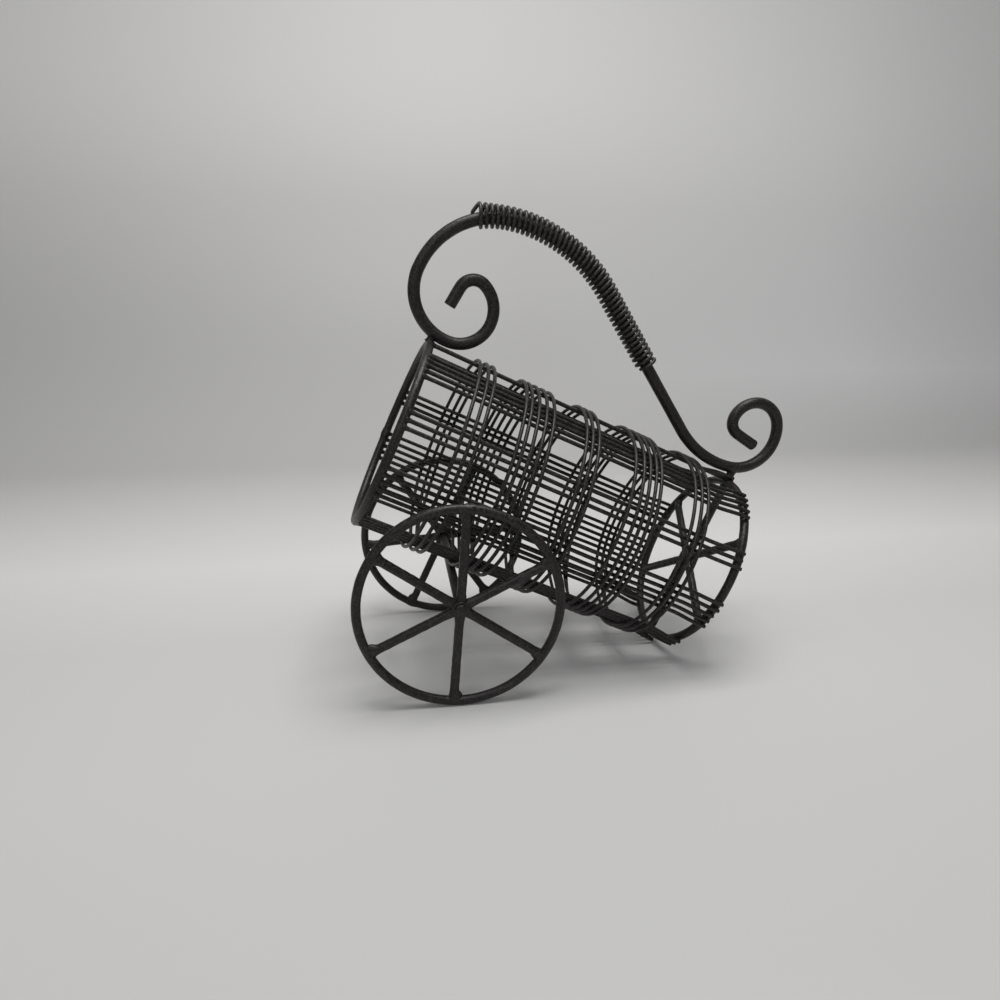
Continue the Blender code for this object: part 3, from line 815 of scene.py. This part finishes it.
# The tail climbs from just inside the top of the rod to a peak. Its points count as a fifth of a curl.
TAIL_SINK = 0.1 * MM
TAIL_RADIUS = HANDLE_ROD / 2 - TAIL_SINK
TAIL_LENGTH = 4.4 * MM
TAIL_CURL = 0.2
TAIL_ROWS = 9
PEAK = 0.5 * MM
PEAK_CURLS = 0.12
print("coil", round(2 * OPEN_RADIUS / MM, 1), "mm across its curls, of", 2 * COIL_WIRE_RADIUS / MM, "mm wire")

# %% The coil's wire
tail_curls = np.linspace(-TAIL_CURL, 0, TAIL_ROWS + 1)[:-1]
curl = np.concatenate([tail_curls, np.linspace(0, COIL_CURLS, round(COIL_CURLS * CURL_ROWS))])
wound = np.maximum(curl, 0)
tail = np.minimum(curl, 0) / TAIL_CURL
coil_angle = 2 * np.pi * wound
loose = bell(wound, LOOSE_CURLS)
stand_off = eased(np.clip((COIL_CURLS - curl) / CLOSING_CURLS, 0, 1))
open_radius = OPEN_RADIUS + SWELL * loose + PEAK * bell(curl, PEAK_CURLS)
coil_radius = HELD_RADIUS + (open_radius - HELD_RADIUS) * stand_off
lift = (COIL_LIFT + LOOSE_LIFT * loose) * stand_off
peak_radius = OPEN_RADIUS + SWELL + PEAK
coil_radius = np.where(curl < 0, peak_radius + (peak_radius - TAIL_RADIUS) * tail, coil_radius)
lift = np.where(curl < 0, lift * (1 + tail), lift)
along_handle = COIL_START + (COIL_END - COIL_START) * wound / COIL_CURLS + tail * TAIL_LENGTH
along_handle = along_handle + SLANT * loose * np.cos(coil_angle)
along_handle = along_handle + COIL_SWAY * np.sin(curl * COIL_SWAY_RATE)
along_handle = along_handle + LAST_CURL_GAP * bell(curl - COIL_CURLS + 0.5, CLOSING_CURLS)
x, z, turn = on_handle(along_handle)
outward = lift + coil_radius * np.cos(coil_angle)
path = in_cage(x - outward * np.sin(turn), -coil_radius * np.sin(coil_angle), z + outward * np.cos(turn))
coil_thickness = COIL_WIRE_RADIUS * rounded_ends(len(curl), COIL_ENDS)
coil = shell(rod(path, path - in_cage(x, 0, z), coil_thickness, sides=BAR_SIDES))
piece("grip_coil_wire", [coil], grip_enamel, "cart", "grip_paint", "handle_coil")
pitch = (COIL_END - COIL_START) / COIL_CURLS
clear = pitch - 2 * COIL_WIRE_RADIUS
print("grip", COIL_CURLS, "curls,", round(clear / MM, 2), "mm clear between them")

# %% [markdown]
# ## Welds under the handle
# The handle stands on the two end rings. At each a short stub is welded between rod and ring, and the weld
# runs up the rod like a web. The stub's width is a bell curve at each end, and a bead of weld covers its
# foot.

# %% The two posts
STUB_FOOT = 1.2 * MM
STUB_TOP = 1.0 * MM
STUB_ROWS = 26
# A stub's half width along the cage and across it.
STUB_RADII = (2.1 * MM, 2.0 * MM)
# The lower flare and the upper one: how wide they are on each stub, how deep they are for their width, and
# how far they reach, as shares of the stub's height, along the cage and across it.
FRONT_FLARES = (0.8 * MM, 1.9 * MM)
REAR_FLARES = (1.5 * MM, 1.7 * MM)
FLARE_DEPTHS = (0.5, 0.25)
WIDE_REACHES = (0.34, 0.32)
DEEP_REACHES = (0.30, 0.30)
STUB_DENTS = 0.22 * MM
STUB_DENT_LENGTH = 3.5 * MM
NEAR_ENOUGH = 0.5 * MM
FRONT_BEAD = (2.7 * MM, 3.0 * MM, 1.5 * MM)
FRONT_BEAD_BACK = 0.3 * MM
FRONT_BEAD_RISE = 1.6 * MM
REAR_BEAD = (3.2 * MM, 3.4 * MM, 1.4 * MM)
REAR_BEAD_RISE = 2.0 * MM


def post(place, ring_radius, above, flares, seed):
    """A stub from the ring's rod into the handle's rod, widening at both ends.

    Half width at the share t of its height = radius + lower flare * bell(t) + upper flare * bell(1 - t).
    """
    bottom = in_cage(place, 0, ring_radius + STUB_FOOT)
    top = in_cage(above[0], 0, above[1] - STUB_TOP)
    t = np.linspace(0, 1, STUB_ROWS)
    path = bottom + t[:, None] * (top - bottom)
    low, high = np.array(flares) * FLARE_DEPTHS
    wide = STUB_RADII[0] + flares[0] * bell(t, WIDE_REACHES[0]) + flares[1] * bell(1 - t, WIDE_REACHES[1])
    deep = STUB_RADII[1] + low * bell(t, DEEP_REACHES[0]) + high * bell(1 - t, DEEP_REACHES[1])
    return shell(uneven(rod(path, ALONG, wide, deep, sides=ROD_SIDES), STUB_DENTS, STUB_DENT_LENGTH, seed))


def handle_over(place):
    """The lowest point of the handle's line close over a place along the cage."""
    near = np.abs(handle_x - place) < NEAR_ENOUGH
    lowest = np.argmin(np.where(near, handle_z, 1.0))
    return handle_x[lowest], handle_z[lowest]


front_stub = post(0.0, FRONT_RING_RADIUS, handle_over(0.0), FRONT_FLARES, seed=81)
front_foot = in_cage(FRONT_BEAD_BACK, 0, FRONT_RING_RADIUS + FRONT_BEAD_RISE)
front_bead = bead(front_foot, FRONT_BEAD, CAGE_AXES, seed=83)
rear_stub = post(CAGE_LENGTH, RIM_RADIUS, handle_over(CAGE_LENGTH), REAR_FLARES, seed=82)
rear_foot = in_cage(CAGE_LENGTH, 0, RIM_RADIUS + REAR_BEAD_RISE)
rear_bead = bead(rear_foot, REAR_BEAD, CAGE_AXES, seed=84)
piece("front_post_weld", [front_stub, front_bead], rod_enamel, "cart", "rod_paint", "front_post")
piece("rear_post_weld", [rear_stub, rear_bead], rod_enamel, "cart", "rod_paint", "rear_post")
front_clear = handle_over(0.0)[1] - FRONT_RING_RADIUS - (HANDLE_ROD + RIM_ROD) / 2
print("handle", round(front_clear / MM, 1), "mm clear of the front ring")

# %% [markdown]
# ## Floor and wall
# The cart stands on a pale sweep, a floor that curves up into a wall with no edge, so that nothing competes
# with its outline. It is a sheet of matt background paper off a roll, with light and shade painted into its
# colour. A ramp from front to back paints the floor's light and shade, a lighter tone mixed in by height
# paints the wall lighter towards its top, and white mixed in on the right paints more light there.

# %% The sweep
# Places and sizes in metres, and how many rows each part has.
FLOOR_FRONT = -1.6
WALL_FOOT = 0.55
SWEEP_RADIUS = 0.40
WALL_TOP = 2.4
SWEEP_HALF_WIDTH = 2.6
FLOOR_ROWS = 12
BEND_ROWS = 24
WALL_ROWS = 8
SWEEP_COLUMNS = 14


def sweep(material):
    """Floor and wall as one strip: straight, a quarter circle, straight, carried sideways."""
    floor = np.stack([np.linspace(FLOOR_FRONT, WALL_FOOT, FLOOR_ROWS), np.zeros(FLOOR_ROWS)], -1)
    turn = np.linspace(0, np.pi / 2, BEND_ROWS + 1)[1:]
    bend = np.stack([WALL_FOOT + SWEEP_RADIUS * np.sin(turn), SWEEP_RADIUS * (1 - np.cos(turn))], -1)
    heights = np.linspace(SWEEP_RADIUS, WALL_TOP, WALL_ROWS + 1)[1:]
    wall = np.stack([np.full(WALL_ROWS, WALL_FOOT + SWEEP_RADIUS), heights], -1)
    profile = np.vstack([floor, bend, wall])
    across = np.linspace(-SWEEP_HALF_WIDTH, SWEEP_HALF_WIDTH, SWEEP_COLUMNS)
    points = np.empty((len(profile), len(across), 3))
    points[..., 0] = across
    points[..., 1:] = profile[:, None]
    rows, columns = points.shape[:2]
    row, column = np.meshgrid(np.arange(rows - 1), np.arange(columns - 1), indexing="ij")
    at = row * columns + column
    faces = np.stack([at, at + 1, at + columns + 1, at + columns], -1).reshape(-1, 4)
    return mesh_object("sweep", points.reshape(-1, 3), faces.tolist(), material)


# %% Matt backdrop paper
PAPER_ROUGHNESS = 0.55
# The floor's tones from front to back, which paint its light and shade, each with its place as a share of the
# span, which is in metres.
FLOOR_SPAN = (-0.3, 0.7)
FLOOR_PAINTED_LIGHT_TONES = (
    (0.08, "#c0bfbe"),
    (0.20, "#c6c5c4"),
    (0.33, "#c8c7c6"),
    (0.47, "#d8d7d5"),
    (0.62, "#d0cfcd"),
    (0.85, "#c3c2c1"),
)
# The wall's lighter tone, mixed in between two heights in metres, is painted light on the upper wall.
WALL_PAINTED_LIGHT_TONE = "#e6e5e3"
WALL_PAINTED_LIGHT_RISE = (0.12, 0.62)
# White is mixed in towards the right of the wall, up to a share, and not on the floor: painted light that
# makes the right of the wall brighter.
RIGHT_PAINTED_LIGHT = "#ffffff"
RIGHT_PAINTED_LIGHT_SHARE = 0.38
RIGHT_PAINTED_LIGHT_RISE = (0.0, 0.10)
RIGHT_PAINTED_LIGHT_ACROSS = (0.15, 0.75)


def backdrop_paper():
    """Matt paper with painted light: the floor's tones by distance, then the wall's tone by height, then
    white to the right.
    """
    material = bpy.data.materials.new("matt_backdrop_paper_with_painted_light")
    material.use_nodes = True
    tree = material.node_tree
    paper = tree.nodes["Principled BSDF"]
    where = add(tree, "ShaderNodeTexCoord").outputs["Object"]
    axes = add(tree, "ShaderNodeSeparateXYZ", {"Vector": where}).outputs
    backwards = add(tree, "ShaderNodeMapRange", {
        "Value": axes["Y"], "From Min": FLOOR_SPAN[0], "From Max": FLOOR_SPAN[1]})
    # Painted light and shade: the floor's tone by its distance from the front.
    floor_painted_light = add(tree, "ShaderNodeValToRGB", {"Fac": backwards.outputs["Result"]}, FLOOR_PAINTED_LIGHT_TONES)
    wall_light_rising = add(tree, "ShaderNodeMapRange", {
        "Value": axes["Z"], "From Min": WALL_PAINTED_LIGHT_RISE[0], "From Max": WALL_PAINTED_LIGHT_RISE[1]},
        interpolation_type="SMOOTHSTEP")
    # Painted light: the wall's lighter tone is mixed in by height.
    tone = add(tree, "ShaderNodeMix", {
        "Factor": wall_light_rising.outputs["Result"], "A": floor_painted_light.outputs["Color"], "B": colour(WALL_PAINTED_LIGHT_TONE)},
        data_type="RGBA")
    right_light_on_wall = add(tree, "ShaderNodeMapRange", {
        "Value": axes["Z"], "From Min": RIGHT_PAINTED_LIGHT_RISE[0], "From Max": RIGHT_PAINTED_LIGHT_RISE[1], "To Max": RIGHT_PAINTED_LIGHT_SHARE})
    right_light_share = add(tree, "ShaderNodeMapRange", {
        "Value": axes["X"], "From Min": RIGHT_PAINTED_LIGHT_ACROSS[0], "From Max": RIGHT_PAINTED_LIGHT_ACROSS[1],
        "To Max": right_light_on_wall.outputs["Result"]})
    # Painted light: white mixed in on the right of the wall.
    lit = add(tree, "ShaderNodeMix", {
        "Factor": right_light_share.outputs["Result"], "A": tone.outputs["Result"], "B": colour(RIGHT_PAINTED_LIGHT)},
        data_type="RGBA")
    tree.links.new(lit.outputs["Result"], paper.inputs["Base Color"])
    paper.inputs["Roughness"].default_value = PAPER_ROUGHNESS
    return material


sweep(backdrop_paper())
print("sweep", 2 * SWEEP_HALF_WIDTH, "m wide, wall", WALL_TOP, "m high")

# %% [markdown]
# ## Light
# The light is soft and comes mostly from above, which draws a pale line along the top of every rod and keeps
# the undersides dark. A weaker lamp on the camera's side fills the cage, and the world lifts what is left.

# %% Lamps and world
WORLD_STRENGTH = 0.30


def soft_box(name, place, aim, width, height, watts):
    """A rectangular lamp at a place, turned to look at another."""
    data = bpy.data.lights.new(name, "AREA")
    data.shape = "RECTANGLE"
    data.size, data.size_y, data.energy = width, height, watts
    item = bpy.data.objects.new(name, data)
    bpy.context.scene.collection.objects.link(item)
    item.location = place
    look = unit(np.array(aim) - np.array(place))
    item.rotation_euler = (math.acos(-look[2]), 0, math.atan2(-look[0], look[1]))
    return item


soft_box("overhead", place=(0.03, -0.08, 1.15), aim=(0, 0.03, 0.1), width=0.75, height=0.6, watts=10.6)
soft_box("front_fill", place=(-0.55, -1.25, 0.95), aim=(0, 0, 0.1), width=0.8, height=0.8, watts=2.9)
world = bpy.data.worlds.new("soft_room")
bpy.context.scene.world = world
world.use_nodes = True
world.node_tree.nodes["Background"].inputs["Color"].default_value = colour("#e9eaec")
world.node_tree.nodes["Background"].inputs["Strength"].default_value = WORLD_STRENGTH
bpy.context.scene.view_settings.view_transform = "Standard"
print("lamps:", ", ".join(sorted(lamp.name for lamp in bpy.data.lights)))

# %% [markdown]
# ## Camera
# The camera stands close beside the cart and a little above it, so that the far wheel shows past the near
# one. Its place and lens were worked out from the outlines of the four rings, because a circle seen at a
# slant gives its own distance and direction.

# %% The camera
CAMERA_PLACE = (-0.09946, -0.3699, 0.1895)
CAMERA_DOWN = math.radians(14.681)
CAMERA_TO_RIGHT = math.radians(8.747)
CAMERA_LENS = 24.55
CAMERA_FILM = 36

camera_data = bpy.data.cameras.new("camera")
camera_data.sensor_width = CAMERA_FILM
camera_data.lens = CAMERA_LENS
camera = bpy.data.objects.new("camera", camera_data)
bpy.context.scene.collection.objects.link(camera)
camera.location = CAMERA_PLACE
camera.rotation_euler = (math.pi / 2 - CAMERA_DOWN, 0, -CAMERA_TO_RIGHT)
bpy.context.scene.camera = camera
print("camera", round(math.dist(CAMERA_PLACE, (0, 0, 0)), 2), "m from the cart's middle")
